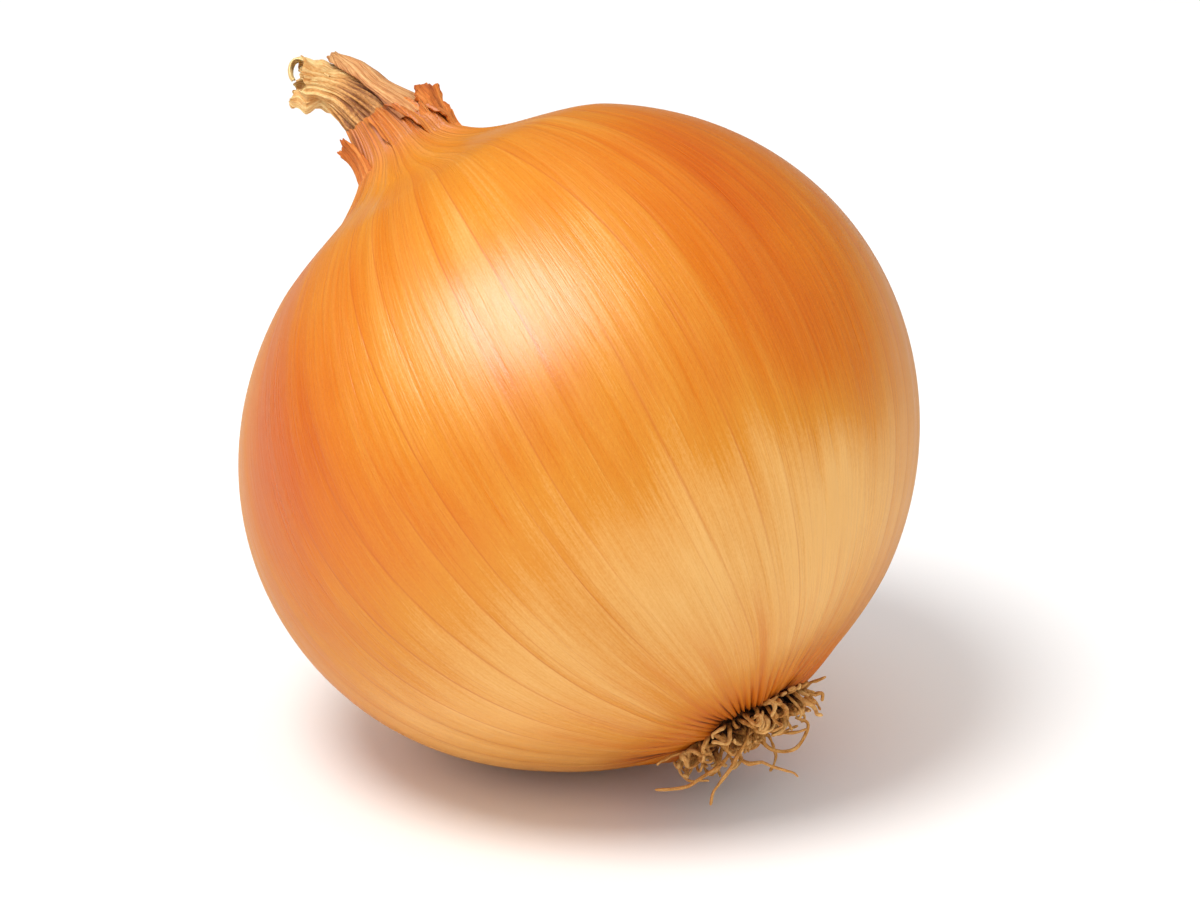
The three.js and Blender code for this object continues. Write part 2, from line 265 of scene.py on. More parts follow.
def spline(points, count):
    """Evenly spaced points on a smooth curve through the given ones."""
    points = np.asarray(points, float)
    padded = np.concatenate([[2 * points[0] - points[1]], points, [2 * points[-1] - points[-2]]])
    pieces = []
    t = np.linspace(0, 1, 24, endpoint=False)[:, None]
    for a, b, c, d in zip(padded, padded[1:], padded[2:], padded[3:]):
        square = 2 * a - 5 * b + 4 * c - d
        cube = 3 * b - a - 3 * c + d
        pieces.append(0.5 * (2 * b + (c - a) * t + square * t**2 + cube * t**3))
    fine = np.concatenate(pieces + [points[-1:]])
    reach = np.concatenate([[0], np.cumsum(np.linalg.norm(np.diff(fine, axis=0), axis=1))])
    even = np.linspace(0, reach[-1], count)
    return np.stack([np.interp(even, reach, fine[:, k]) for k in range(fine.shape[1])], 1)


def tube(path, radius, sides):
    """Points, faces, share along and angle round of a closed tube along a path."""
    tangent = np.gradient(path, axis=0)
    tangent /= np.linalg.norm(tangent, axis=1, keepdims=True)
    side = np.cross(tangent[0], [0.31, 0.83, 0.46])
    rings = []
    turn = np.linspace(0, TAU, sides, endpoint=False)
    for point, along, r in zip(path, tangent, radius):
        side = side - along * (side @ along)
        side /= np.linalg.norm(side)
        other = np.cross(along, side)
        rings.append(point + r * (np.cos(turn)[:, None] * side + np.sin(turn)[:, None] * other))
    count = len(path)
    points = np.concatenate([[path[0]], *rings, [path[-1]]])
    faces = [list(f) for f in grid_faces(count, sides, True, 1)]
    last = 1 + (count - 1) * sides
    for k in range(sides):
        faces.append([0, 1 + (k + 1) % sides, 1 + k])
        faces.append([last + sides, last + k, last + (k + 1) % sides])
    share = np.concatenate([[0], np.repeat(np.linspace(0, 1, count), sides), [1]])
    around = np.concatenate([[0], np.tile(turn, count), [0]])
    return points, faces, share, around


# ---------------------------------------------------------------- shader helpers


def linear(red, green, blue):
    """A colour given as it looks on a screen, from 0 to 255, as linear light."""
    values = [c / 255 for c in (red, green, blue)]
    return tuple(v / 12.92 if v <= 0.04045 else ((v + 0.055) / 1.055) ** 2.4 for v in values) + (1.0,)


class Shader:
    """A material with a Principled shader, and short ways to add nodes to it."""

    def __init__(self, name):
        self.material = bpy.data.materials.new(name)
        self.material.use_nodes = True
        self.tree = self.material.node_tree
        self.surface = self.tree.nodes["Principled BSDF"]

    def node(self, kind, **inputs):
        new = self.tree.nodes.new(kind)
        for key, value in inputs.items():
            self.feed(new.inputs[key.replace("_", " ")], value)
        return new

    def feed(self, socket, value):
        if isinstance(value, bpy.types.NodeSocket):
            self.tree.links.new(value, socket)
        else:
            socket.default_value = value

    def set(self, **inputs):
        for key, value in inputs.items():
            self.feed(self.surface.inputs[key.replace("_", " ")], value)

    def attribute(self, name, output="Fac"):
        node = self.tree.nodes.new("ShaderNodeAttribute")
        node.attribute_name = name
        return node.outputs[output]

    def math(self, operation, *values):
        node = self.tree.nodes.new("ShaderNodeMath")
        node.operation = operation
        for socket, value in zip(node.inputs, values):
            self.feed(socket, value)
        return node.outputs[0]

    def scaled(self, vector, factors):
        node = self.tree.nodes.new("ShaderNodeVectorMath")
        node.operation = "MULTIPLY"
        self.feed(node.inputs[0], vector)
        self.feed(node.inputs[1], factors)
        return node.outputs[0]

    def noise(self, vector, factors, detail=2.0, roughness=0.5, distortion=0.0):
        """Noise from 0 to 1 over a vector that is first stretched by the factors."""
        node = self.node(
            "ShaderNodeTexNoise",
            Vector=self.scaled(vector, factors),
            Scale=1.0,
            Detail=detail,
            Roughness=roughness,
            Distortion=distortion,
        )
        return node.outputs["Fac"]

    def span(self, value, low, high, to_low=0.0, to_high=1.0):
        """Maps low..high to to_low..to_high, held at the ends."""
        node = self.tree.nodes.new("ShaderNodeMapRange")
        for socket, given in zip(node.inputs, (value, low, high, to_low, to_high)):
            self.feed(socket, given)
        return node.outputs[0]

    def ramp(self, value, *stops):
        """A colour that runs through (place, colour) stops."""
        node = self.tree.nodes.new("ShaderNodeValToRGB")
        self.feed(node.inputs[0], value)
        elements = node.color_ramp.elements
        while len(elements) < len(stops):
            elements.new(0.5)
        for element, (place, color) in zip(elements, stops):
            element.position = place
            element.color = color
        return node.outputs[0]

    def mix(self, share, a, b):
        """The colour a at a share of 0, and b at 1."""
        node = self.tree.nodes.new("ShaderNodeMix")
        node.data_type = "RGBA"
        self.feed(node.inputs["Factor"], share)
        self.feed(node.inputs[6], a)
        self.feed(node.inputs[7], b)
        return node.outputs[2]

    def vein_count(self, angle, grain, count, stray):
        """Rises by 1 from each lengthwise vein to the next; the veins stray a little."""
        wander = self.math("SUBTRACT", self.noise(grain, (1.6, 1.6, 0.5), 0.0), 0.5)
        turns = self.math("DIVIDE", angle, TAU)
        return self.math("MULTIPLY_ADD", turns, count, self.math("MULTIPLY", wander, stray))

    def veins(self, place, width):
        """Thin lines, 1 on the line and 0 off it, wherever the place is a whole number."""
        return self.span(self.math("PINGPONG", place, 0.5), 0.0, width, 1.0, 0.0)

    def bump(self, height, depth_mm, under=None):
        inputs = {"Height": height, "Strength": 1.0, "Distance": depth_mm * MM}
        if under is not None:
            inputs["Normal"] = under
        return self.node("ShaderNodeBump", **inputs).outputs[0]


# ---------------------------------------------------------------- materials

DEEP_ORANGE = linear(196, 88, 0)
ORANGE = linear(208, 112, 4)
GOLD = linear(216, 136, 30)
PALE_GOLD = linear(236, 178, 98)
VEIN_BROWN = linear(192, 92, 10)
# The root-end and crease browns colour the skin in its creases: partly its own brown, partly painted shade.
ROOT_END_BROWN_AND_SHADE = linear(92, 36, 4)
NECK_BROWN = linear(176, 86, 20)
NECK_TAN = linear(230, 142, 56)
CREASE_BROWN_AND_SHADE = linear(204, 102, 16)


def skin_material():
    """Dry outer skin: gold to deep orange, with lengthwise fibres and veins, and a silky gloss."""
    s = Shader("onion_skin")
    grain = s.attribute("grain", "Vector")
    tone = s.attribute("tone")
    crease = s.attribute("crease")
    patches = s.noise(grain, (1.7, 1.7, 1.1), 3.0, 0.55, 0.3)
    bands = s.noise(grain, (9.0, 9.0, 0.8), 3.0, 0.6)
    fibres = s.noise(grain, (70.0, 70.0, 2.6), 3.0, 0.65)
    hairs = s.noise(grain, (210.0, 210.0, 7.0), 2.0, 0.6)
    paper = s.noise(grain, (160.0, 160.0, 110.0), 2.0, 0.6)
    around = s.tree.nodes.new("ShaderNodeSeparateXYZ")
    s.feed(around.inputs[0], grain)
    angle = s.math("ARCTAN2", around.outputs["Y"], around.outputs["X"])
    place = s.vein_count(angle, grain, 46.0, 2.6)
    thin_place = s.vein_count(angle, grain, 94.0, 5.0)
    long_mask = s.span(s.noise(grain, (5.0, 5.0, 0.9), 2.0), 0.38, 0.58)
    short_mask = s.span(s.noise(grain, (8.0, 8.0, 2.0), 2.0), 0.44, 0.66)
    vein = s.math("MULTIPLY", s.veins(place, 0.035), long_mask)
    thin_vein = s.math("MULTIPLY", s.veins(thin_place, 0.045), short_mask)
    beside = s.math("MULTIPLY", s.span(s.math("FRACT", place), 0.0, 0.7, -0.075, 0.035), long_mask)
    total = s.math("ADD", tone, s.span(patches, 0.3, 0.7, -0.17, 0.17))
    total = s.math("ADD", total, beside)
    total = s.math("ADD", total, s.span(paper, 0.3, 0.7, -0.05, 0.05))
    total = s.math("ADD", total, s.span(bands, 0.3, 0.7, -0.08, 0.08))
    total = s.math("ADD", total, s.span(fibres, 0.25, 0.75, -0.08, 0.08))
    total = s.math("ADD", total, s.span(hairs, 0.25, 0.75, -0.06, 0.06))
    color = s.ramp(total, (0.0, DEEP_ORANGE), (0.33, ORANGE), (0.62, GOLD), (1.0, PALE_GOLD))
    near_neck = s.span(around.outputs["Z"], 0.87, 1.04, 0.0, 0.85)
    ribs = s.span(s.noise(grain, (26.0, 26.0, 1.2), 3.0, 0.6), 0.38, 0.62)
    color = s.mix(near_neck, color, s.mix(ribs, NECK_BROWN, NECK_TAN))
    near_root = s.span(around.outputs["Z"], -0.66, -0.93, 0.0, 0.75)
    root_streaks = s.span(s.noise(grain, (12.0, 12.0, 0.9), 3.0, 0.6), 0.48, 0.66)
    color = s.mix(s.math("MULTIPLY", near_root, root_streaks), color, CREASE_BROWN_AND_SHADE)
    color = s.mix(s.math("MULTIPLY", vein, 0.62), color, VEIN_BROWN)
    color = s.mix(s.math("MULTIPLY", thin_vein, 0.35), color, VEIN_BROWN)
    # Browner and darker in the creases and round the root seat: partly the skin's own brown, partly painted
    # shade.
    color = s.mix(s.span(crease, 0.0, 0.5), color, CREASE_BROWN_AND_SHADE)
    color = s.mix(s.span(crease, 0.4, 1.0), color, ROOT_END_BROWN_AND_SHADE)
    streaks = s.math("ADD", s.math("MULTIPLY", fibres, 0.8), s.math("MULTIPLY", hairs, 0.3))
    streaks = s.math("SUBTRACT", streaks, s.math("MULTIPLY", vein, 0.1))
    matt = s.math("ADD", s.math("MULTIPLY", fibres, 0.5), s.math("MULTIPLY", bands, 0.5))
    matt = s.math("ADD", matt, s.math("MULTIPLY", near_neck, 0.5))
    s.set(
        Base_Color=color,
        Roughness=s.span(matt, 0.35, 1.0, 0.26, 0.76),
        IOR=1.46,
        Specular_Tint=(1.0, 0.93, 0.82, 1.0),
        Coat_Weight=0.2,
        Coat_Roughness=0.28,
        Normal=s.bump(paper, 0.02, s.bump(streaks, 0.11, s.bump(bands, 0.3))),
    )
    return s.material


def leaf_material(name, dark, middle, light, fibre_count, contrast, roughness):
    """A dry leaf: lengthwise fibres in three tones, darker where its tone attribute is low."""
    s = Shader(name)
    grain = s.attribute("grain", "Vector")
    tone = s.attribute("tone")
    wide = s.noise(grain, (0.25 * fibre_count, 0.25 * fibre_count, 3.0), 3.0, 0.6)
    fibres = s.noise(grain, (fibre_count, fibre_count, 5.0), 4.0, 0.7)
    specks = s.noise(grain, (30.0, 30.0, 40.0), 2.0, 0.6)
    total = s.math("ADD", tone, s.span(wide, 0.3, 0.7, -contrast, contrast))
    total = s.math("ADD", total, s.span(fibres, 0.3, 0.7, -contrast, contrast))
    total = s.math("ADD", total, s.span(specks, 0.3, 0.7, -0.18, 0.18))
    color = s.ramp(total, (0.0, dark), (0.5, middle), (1.0, light))
    s.set(
        Base_Color=color,
        Roughness=roughness,
        IOR=1.45,
        Subsurface_Weight=0.06,
        Subsurface_Radius=(1.0, 0.45, 0.15),
        Subsurface_Scale=0.0008,
        Normal=s.bump(s.math("ADD", fibres, wide), 0.12),
    )
    return s.material


def root_material():
    """A dry root: tan with darker rings and dirt, nearly black where it leaves the plate, partly its own
    dark base and partly painted shade.
    """
    s = Shader("dry_root")
    grain = s.attribute("grain", "Vector")
    tone = s.attribute("tone")
    rough = s.noise(grain, (1.5, 1.5, 60.0), 3.0, 0.6)
    patches = s.noise(grain, (0.8, 0.8, 9.0), 2.0, 0.5)
    total = s.math("ADD", tone, s.span(rough, 0.3, 0.7, -0.14, 0.14))
    total = s.math("ADD", total, s.span(patches, 0.3, 0.7, -0.2, 0.2))
    color = s.ramp(
        total,
        (0.0, linear(44, 20, 6)),
        (0.3, linear(132, 78, 28)),
        (0.62, linear(200, 138, 66)),
        (1.0, linear(240, 190, 118)),
    )
    s.set(Base_Color=color, Roughness=0.75, IOR=1.3, Normal=s.bump(rough, 0.1))
    return s.material


def plate_material():
    """The root plate under the roots: dark fibrous brown."""
    s = Shader("root_plate")
    grain = s.attribute("grain", "Vector")
    lumps = s.noise(grain, (6.0, 6.0, 6.0), 4.0, 0.65)
    color = s.ramp(lumps, (0.3, linear(30, 12, 4)), (0.7, linear(104, 58, 22)))
    s.set(Base_Color=color, Roughness=0.85, IOR=1.2, Normal=s.bump(lumps, 0.5))
    return s.material


SKIN = skin_material()
FLAP = leaf_material(
    "torn_skin", linear(164, 78, 12), linear(212, 118, 34), linear(236, 158, 76), 50.0, 0.24, 0.8
)
DRY_LEAF = leaf_material(
    "dry_leaf", linear(122, 64, 22), linear(200, 130, 68), linear(238, 190, 126), 40.0, 0.26, 0.7
)
PALE_LEAF = leaf_material(
    "pale_leaf", linear(140, 80, 28), linear(222, 158, 82), linear(250, 220, 152), 60.0, 0.15, 0.6
)
ROOT = root_material()
PLATE = plate_material()

# ---------------------------------------------------------------- bulb

BULB_COLUMNS = 448
FOLD_DEPTH = 3.2  # how far the torn collar's inner side shows down inside the neck

# Where the skin is deeper or paler: angle in degrees, height, reach, change of tone. Most are the skin's
# own colour; some are painted light and painted shade, each marked where it stands.
TONE_AND_LIGHT_PATCHES = (
    (142, 16, 15, -0.34),
    (140, -8, 13, -0.22),
    (43, 16, 14, -0.36),
    (76, 27, 12, -0.08),
    (92, 0, 9, -0.08),
    # painted sheen: paler beside the highlight
    (68, 11, 12, 0.24),
    (92, 22, 9, 0.10),
    # painted sheen: paler beside the highlight
    (106, 8, 13, 0.20),
    (137, 30, 7, 0.10),
    # deeper at the left edge: partly the skin's own colour, partly painted shade
    (24, 2, 15, -0.16),
    (74, -10, 11, -0.12),
    (94, -14, 8, -0.12),
    (114, -16, 7, 0.14),
    (100, -24, 17, 0.16),
    (124, -22, 12, 0.14),
    # paler low on the right: partly the skin's own pale gold, partly painted light
    (135, -30, 10, 0.20),
    # painted light: paler low on the front, where the table lights the bulb from below
    (32, -20, 12, 0.18),
    # paler low on the right: partly the skin's own pale gold, partly painted light
    (148, -22, 12, 0.22),
    (32, -7, 11, 0.10),
    (62, -20, 15, 0.18),
    (250, 6, 18, -0.22),
    (320, -12, 18, 0.14),
)


def skin_tone_with_painted_light(points):
    """Where the skin lies between deep orange, 0, and pale gold, 1. This tone also carries painted light
    and painted shade: the paler lower half and some of the patches.
    """
    height = points[:, 2]
    angle = np.arctan2(points[:, 1], points[:, 0])
    stray = 3.0 * np.sin(3 * angle + 0.6) + 2.0 * np.sin(7 * angle + 1.9) + 1.2 * np.sin(13 * angle)
    # Paler towards the root end: partly the skin's own paler lower half, partly painted light from the
    # table below.
    tone = 0.47 + 0.24 * smooth(-3, -27, height + stray) + 0.05 * smooth(30, 38, height)
    for degrees, patch_height, reach, change in TONE_AND_LIGHT_PATCHES:
        angle = math.radians(degrees)
        radius = BULB_RADIUS * math.sqrt(1 - (patch_height / BULB_RADIUS) ** 2)
        middle = np.array([radius * math.cos(angle), radius * math.sin(angle), patch_height])
        distance = np.linalg.norm(points - middle, axis=1)
        tone = tone + change * np.exp(-((distance / reach) ** 2))
    return tone - 0.25 * smooth(-33, -37, height)


def collar_height(angle):
    """Height of the torn top edge of the skin round the neck."""
    turn = angle / TAU % 1
    return 43.6 + 0.45 * torn(turn, 61, 11, True) + 0.65 * torn(turn, 23, 12, True)


def bulb_grid():
    """Radius, height and angle of the bulb's points, from the middle of the root seat to the inside
    of the torn collar."""
    angle = np.linspace(0, TAU, BULB_COLUMNS, endpoint=False)[None, :]
    below_neck = OUTLINE[OUTLINE[:, 1] < 36.0]
    reach = np.concatenate([[0], np.cumsum(np.linalg.norm(np.diff(below_neck, axis=0), axis=1))])
    share = np.linspace(0, 1, 150)
    eased = share - 0.10 * np.sin(TAU * share) / TAU * 2
    radius = np.interp(eased * reach[-1], reach, below_neck[:, 0])[:, None]
    height = np.interp(eased * reach[-1], reach, below_neck[:, 1])[:, None]
    ones = np.ones_like(angle)
    seat_radius = np.array([0.4, 2.6, 4.8, 6.4])[:, None]
    seat_height = SEAT_HEIGHT + np.array([0.5, 0.45, 0.3, 0.08])[:, None]
    top = collar_height(angle)
    up = np.linspace(0, 1, 34)[1:, None]
    neck_height = 36.0 + (top - 36.0) * up
    down = np.array([0.03, 0.3, 1.2, FOLD_DEPTH])[:, None]
    inner_height = top - down
    inner_radius = neck_radius(inner_height) - np.array([0.12, 0.3, 0.36, 0.4])[:, None]
    cap_radius = np.array([2.0, 0.2])[:, None]
    cap_height = np.array([39.6, 39.4])[:, None]
    radii = [seat_radius * ones, radius * ones, neck_radius(neck_height), inner_radius, cap_radius * ones]
    heights = [seat_height * ones, height * ones, neck_height, inner_height, cap_height * ones]
    return np.concatenate(radii), np.concatenate(heights), angle


def neck_relief(angle, height):
    """Height of the lengthwise ribs of the skin near the neck."""
    ribs = waves(angle, height, range(14, 34), 23, 0.05)
    fine_ribs = waves(angle, height, range(50, 100), 24, 0.06)
    return smooth(31, 42, height) * (0.09 * ribs + 0.07 * fine_ribs)


def skin_relief(angle, height, radius):
    """Height of the skin's folds and ribs off the plain shape, and how deep each point is in a crease."""
    below = height < 0
    to_root = smooth(19, 7.6, radius) * below
    belly = 1 - to_root - smooth(31, 42, height)
    puckers = creases(angle, height, range(24, 46), 21, 0.02)
    fine_puckers = creases(angle, height, range(52, 84), 22, 0.03)
    broad = waves(angle, height, range(5, 11), 25, 0.01)
    relief = 0.42 * to_root**1.6 * (puckers - 0.8) + 0.14 * to_root**2 * (fine_puckers - 0.8)
    relief = relief + neck_relief(angle, height) + 0.06 * belly * broad
    # The crease depth also sets the skin's colour: browner in the creases by the root end and round its
    # seat, partly its own brown and partly painted shade.
    depth = to_root * np.clip(1 - puckers / 0.7, 0, 1) * (0.6 + 0.4 * np.abs(broad))
    depth = depth + 0.55 * to_root**1.6 * np.clip(1 - fine_puckers / 0.5, 0, 1)
    depth = depth + 0.16 * to_root**2 * below + 0.75 * smooth(8.6, 6.4, radius) * below
    return relief, np.clip(depth, 0, 1)


SEAT_ROWS = 4  # rows of the bulb's grid over the root seat, and those inside the torn collar
INSIDE_ROWS = 6


def make_bulb():
    radius, height, angle = bulb_grid()
    angle = np.broadcast_to(angle, radius.shape)
    rows = len(radius)
    out_radius = np.gradient(height, axis=0)
    out_height = -np.gradient(radius, axis=0)
    length = np.hypot(out_radius, out_height) + 1e-9
    outside = np.ones((rows, 1))
    outside[:SEAT_ROWS] = 0.5
    outside[-INSIDE_ROWS:] = 0
    relief, crease = skin_relief(angle, height, radius)
    relief = relief * outside
    grown = radius * lobes(angle, height) + relief * out_radius / length
    tall = height + relief * out_height / length
    across = middle_at(tall) + grown * np.cos(angle)
    points = np.stack([across, grown * np.sin(angle), tall], -1).reshape(-1, 3)
    points = lifted(points, 0.0)
    faces = [list(f) for f in grid_faces(rows, BULB_COLUMNS, True)]
    faces.append(list(range(BULB_COLUMNS))[::-1])
    faces.append([(rows - 1) * BULB_COLUMNS + k for k in range(BULB_COLUMNS)])
    grain = np.stack([np.cos(angle), np.sin(angle), height / BULB_RADIUS], -1).reshape(-1, 3)
    add_piece(
        "bulb_skin",
        points,
        faces,
        SKIN,
        ("bulb",),
        "skin",
        grain=grain,
        tone=skin_tone_with_painted_light(points),
        crease=crease.ravel(),
    )


# ---------------------------------------------------------------- torn skin round the neck


def beside_neck(height, angle, distance):
    """A point beside the neck: at a height and an angle, and a distance off its skin."""
    radius = neck_radius(height) + distance
    return np.stack([middle_at(height) + radius * np.cos(angle), radius * np.sin(angle), height], -1)


def neck_sheet(name, rows, columns, place, material, stands_for, material_slot, tone):
    """A thin torn sheet. place(u, v) gives height, angle and distance off the neck's skin at u along
    it and v across it, and its thickness."""
    u, v = np.meshgrid(np.linspace(0, 1, rows), np.linspace(0, 1, columns), indexing="ij")
    height, angle, distance, thickness = place(u, v)
    distance = distance + neck_relief(angle, height)
    outer = beside_neck(height, angle, distance + thickness)
    inner = beside_neck(height, angle, distance)
    points, faces = closed_sheet(outer, inner)
    grain = np.stack([np.cos(angle), np.sin(angle), height / BULB_RADIUS], -1).reshape(-1, 3)
    tones = tone(u, v).ravel()
    piece = add_piece(
        name,
        points,
        faces,
        material,
        stands_for,
        material_slot,
        grain=np.tile(grain, (2, 1)),
        tone=np.concatenate([tones, tones - 0.1]),
        crease=np.zeros(len(points)),
    )
    sharpen(piece, 50)


FLAP_NARROWING = 0.3  # how much of its width a torn flap loses by its tip


def flap_place(middle, width, foot, length, peel, seed):
    """Where a torn tongue of the outer skin lies: it starts on the neck, and its tip peels away."""

    def place(u, v):
        angle = math.radians(middle) + math.radians(width) * (v - 0.5) * (1 - FLAP_NARROWING * u)
        angle = angle + 0.02 * waves(3 * v, u, range(3, 7), seed)
        left = 0.62 + 0.24 * torn(v, 9, seed + 1) + 0.14 * torn(v, 27, seed + 2)
        height = foot + length * u * left
        curl = 0.28 * np.sin(math.pi * v) * u
        crumple = 0.10 * u * waves(4 * v, u, range(4, 9), seed + 3, 2.0)
        distance = -0.25 + 0.3 * smooth(0, 0.25, u) + peel * u**1.3 - curl + crumple
        return height, angle, distance, 0.16 * (1 - 0.4 * u)

    return place


def flap_tone(u, v):
    return 0.52 - 0.24 * smooth(0.75, 1.0, u) + 0.1 * np.sin(9 * v)


FLAPS = (
    ("torn_skin_left", "skin_flap_left", 22, 52, 37.8, 6.1, 1.8, 31),
    ("torn_skin_back_right", "skin_flap_back_right", 252, 34, 38.4, 6.0, 1.2, 71),
    ("torn_skin_back", "skin_flap_back", 306, 56, 38.2, 6.6, 0.9, 81),
)


def make_flaps():
    for name, node, middle, width, foot, length, peel, seed in FLAPS:
        place = flap_place(middle, width, foot, length, peel, seed)
        neck_sheet(name, 26, 60, place, FLAP, (node,), "flap", flap_tone)


def front_flap_place(u, v):
    """The tongue of skin at the front, with its free edge towards the left."""
    free = np.radians(np.interp(u, [0, 1], [82, 72]))
    angle = free + (math.radians(116) - free) * v + 0.012 * waves(2 * u, v, range(3, 7), 41) * (1 - v)
    left = 0.88 + 0.08 * torn(v, 7, 42) + 0.04 * torn(v, 23, 43)
    height = 37.6 + 6.6 * u * left
    lift = 0.6 * np.exp(-v / 0.15) * smooth(0.1, 0.6, u)
    distance = -0.5 + 0.62 * smooth(0, 0.6, u) + lift + 0.05 * waves(6 * v, u, range(4, 9), 44, 1.0) * u
    return height, angle, distance, 0.18


def castle_place(u, v):
    """The stiff torn tab at the right, which stands up off the neck, with a jagged top."""
    first = np.radians(np.interp(u, [0, 0.5, 1], [112, 132, 150]))
    last = np.radians(np.interp(u, [0, 1], [208, 190]))
    angle = first + (last - first) * v
    jags = np.abs(np.sin(3.0 * math.pi * v + 0.3)) ** 0.5
    left = 0.86 + 0.10 * jags + 0.04 * torn(v, 19, 62) - 0.10 * v
    height = 38.6 + 6.2 * u * left
    distance = -0.6 + 0.5 * smooth(0, 0.2, u) + (2.2 + 1.4 * v) * u**1.3
    distance = distance + 0.08 * waves(5 * v, u, range(3, 8), 63, 1.5) * u
    return height, angle, distance, 0.18


def tip_place(u, v):
    """The small pointed scrap under the tab at the right."""
    angle = math.radians(172) + math.radians(34) * (v - 0.5) * (1 - 0.75 * u)
    height = 38.0 + 3.6 * u * (0.8 + 0.2 * torn(v, 9, 66))
    distance = -0.15 + 2.1 * u**1.2
    return height, angle, distance, 0.16


def right_layer_place(u, v):
    """The skin layer that overlaps the front from the right, with its torn edge across the neck."""
    front = np.radians(np.interp(u, [0, 0.4, 1], [123, 118, 103]))
    back = math.radians(236)
    angle = front + (back - front) * v + 0.015 * waves(2 * u, v, range(3, 7), 91) * (1 - v)
    left = 0.88 + 0.08 * torn(v, 11, 92) + 0.04 * torn(v, 33, 93)
    height = 36.4 + 8.0 * u * left
    edge = np.exp(-v / 0.12)
    distance = -0.8 + 1.05 * smooth(0, 0.6, u) + 0.7 * edge * smooth(0.05, 0.6, u) + 0.15 * u
    distance = distance + 0.05 * waves(6 * v, u, range(4, 10), 94, 1.0) * u
    return height, angle, distance, 0.2


def right_edge_place(u, v):
    """The outermost layer at the right, over the last one."""
    front = np.radians(np.interp(u, [0, 0.4, 1], [158, 151, 138]))
    back = math.radians(222)
    angle = front + (back - front) * v + 0.015 * waves(2 * u, v, range(3, 7), 96) * (1 - v)
    left = 0.84 + 0.12 * torn(v, 9, 97) + 0.04 * torn(v, 31, 98)
    height = 36.8 + 6.6 * u * left
    edge = np.exp(-v / 0.2)
    distance = -0.7 + 1.4 * smooth(0, 0.6, u) + 0.5 * edge * smooth(0.05, 0.7, u)
    return height, angle, distance, 0.2


def layer_tone(u, v):
    return 0.54 - 0.2 * smooth(0.8, 1.0, u) - 0.12 * np.exp(-v / 0.05) * smooth(0, 0.4, u)


# ---------------------------------------------------------------- dry leaves on the neck

# The middle of the pale inner leaf, and its half widths across and from front to back.
INNER_LINE = (
    (0.6, 0, 41.0),
    (0.9, 0, 43.4),
    (1.6, 0, 45.6),
    (2.5, 0.1, 47.6),
    (3.7, 0.3, 49.5),
    (5.7, 0.6, 51.4),
    (8.5, 0.8, 53.4),
)
INNER_WIDE = (4.1, 3.75, 3.4, 2.8, 2.3, 2.5, 2.2)
INNER_DEEP = (4.1, 3.75, 3.3, 2.5, 1.8, 1.6, 1.3)


def beside_line(line, share, angle, wide, deep):
    """Points round a line: at a share of it and an angle, with the section's half widths there."""
    fine = spline(line, 200)
    tangent = np.gradient(fine, axis=0)
    tangent /= np.linalg.norm(tangent, axis=1, keepdims=True)
    places = np.linspace(0, 1, len(fine))
    middle = np.stack([np.interp(share, places, fine[:, k]) for k in range(3)], -1)
    along = np.stack([np.interp(share, places, tangent[:, k]) for k in range(3)], -1)
    across = np.stack([along[..., 2], np.zeros_like(share), -along[..., 0]], -1)
    across /= np.linalg.norm(across, axis=-1, keepdims=True)
    front = np.cross(along, across)
    return middle + across * (wide * np.cos(angle))[..., None] + front * (deep * np.sin(angle))[..., None]


def inner_leaf(name, size, start, length, seed, stands_for, tone_shift):
    """A crumpled tube of pale leaf along the neck's line, open and ragged at its end."""
    rows, columns = 90, 150
    u, v = np.meshgrid(np.linspace(0, 1, rows), np.linspace(0, 1, columns), indexing="ij")
    angle = math.radians(200) + (TAU + 0.5) * v
    lobe = -0.03 * np.cos(angle - math.radians(150))
    turn = (np.degrees(angle) - 70 + 180) % 360 - 180
    notch = 0.10 * np.exp(-((turn / 20) ** 2))
    end = 0.86 + lobe - notch + 0.06 * torn(v, 31, seed + 1)
    share = start + (length - start) * u * end
    knots = np.linspace(0, 1, len(INNER_WIDE))
    folds = creases(angle, share, range(3, 10), seed + 2, 3.0) - 0.8
    fine = waves(angle, share, range(20, 44), seed + 3, 6.0)
    crumple = waves(angle, 9 * share, range(2, 7), seed + 4, 2.2)
    core = smooth(0.55, 0.35, share)
    wrinkles = creases(3 * share, angle, range(14, 34), seed + 5, 1.5) - 0.8
    crumpled = 0.15 * smooth(0.5, 0.8, share) + 0.12 * smooth(0.75, 0.9, share)
    relief = 0.08 * folds + 0.02 * fine + crumpled * crumple
    relief = (relief + 0.025 * core * fine) * smooth(0.05, 0.45, share)
    relief = relief - 0.3 * np.exp(-((turn / 13) ** 2)) * smooth(0.25, 0.8, share)
    wrap = 1 + 0.05 * v
    wide = size * np.interp(share, knots, INNER_WIDE) * (wrap + relief)
    deep = size * np.interp(share, knots, INNER_DEEP) * (wrap + 1.2 * relief)
    outer = beside_line(INNER_LINE, share, angle, wide, deep)
    inner = beside_line(INNER_LINE, share, angle, wide - 0.14, deep - 0.14)
    points, faces = closed_sheet(outer, inner)
    grain = np.stack([np.cos(angle), np.sin(angle), share], -1).reshape(-1, 3)
    # The tone is darker towards the leaf's foot down in the collar, partly its own browner foot and partly
    # painted shade, and it follows the folds: lighter on their ridges and darker in their creases, a
    # painted light and shade.
    tone = 0.14 + 0.56 * smooth(0.36, 0.7, share) + 0.16 * folds + 0.12 * fine + 0.06 * core * wrinkles
    tone = tone + tone_shift
    tone = tone.ravel()
    piece = add_piece(
        name,
        points,
        faces,
        PALE_LEAF,
        stands_for,
        "pale_leaf",
        grain=np.tile(grain, (2, 1)),
        tone=np.concatenate([tone, tone - 0.05]),
    )
    sharpen(piece, 60)


# The pale leaf's curled tip, as the points that its strip passes through in the plane of the bend.
TIP_HOOK = (
    (3.3, 51.0), (4.2, 53.0), (5.0, 54.2), (5.7, 54.8),
    (6.4, 54.8), (7.0, 54.2), (7.3, 53.4), (7.3, 52.9),
)


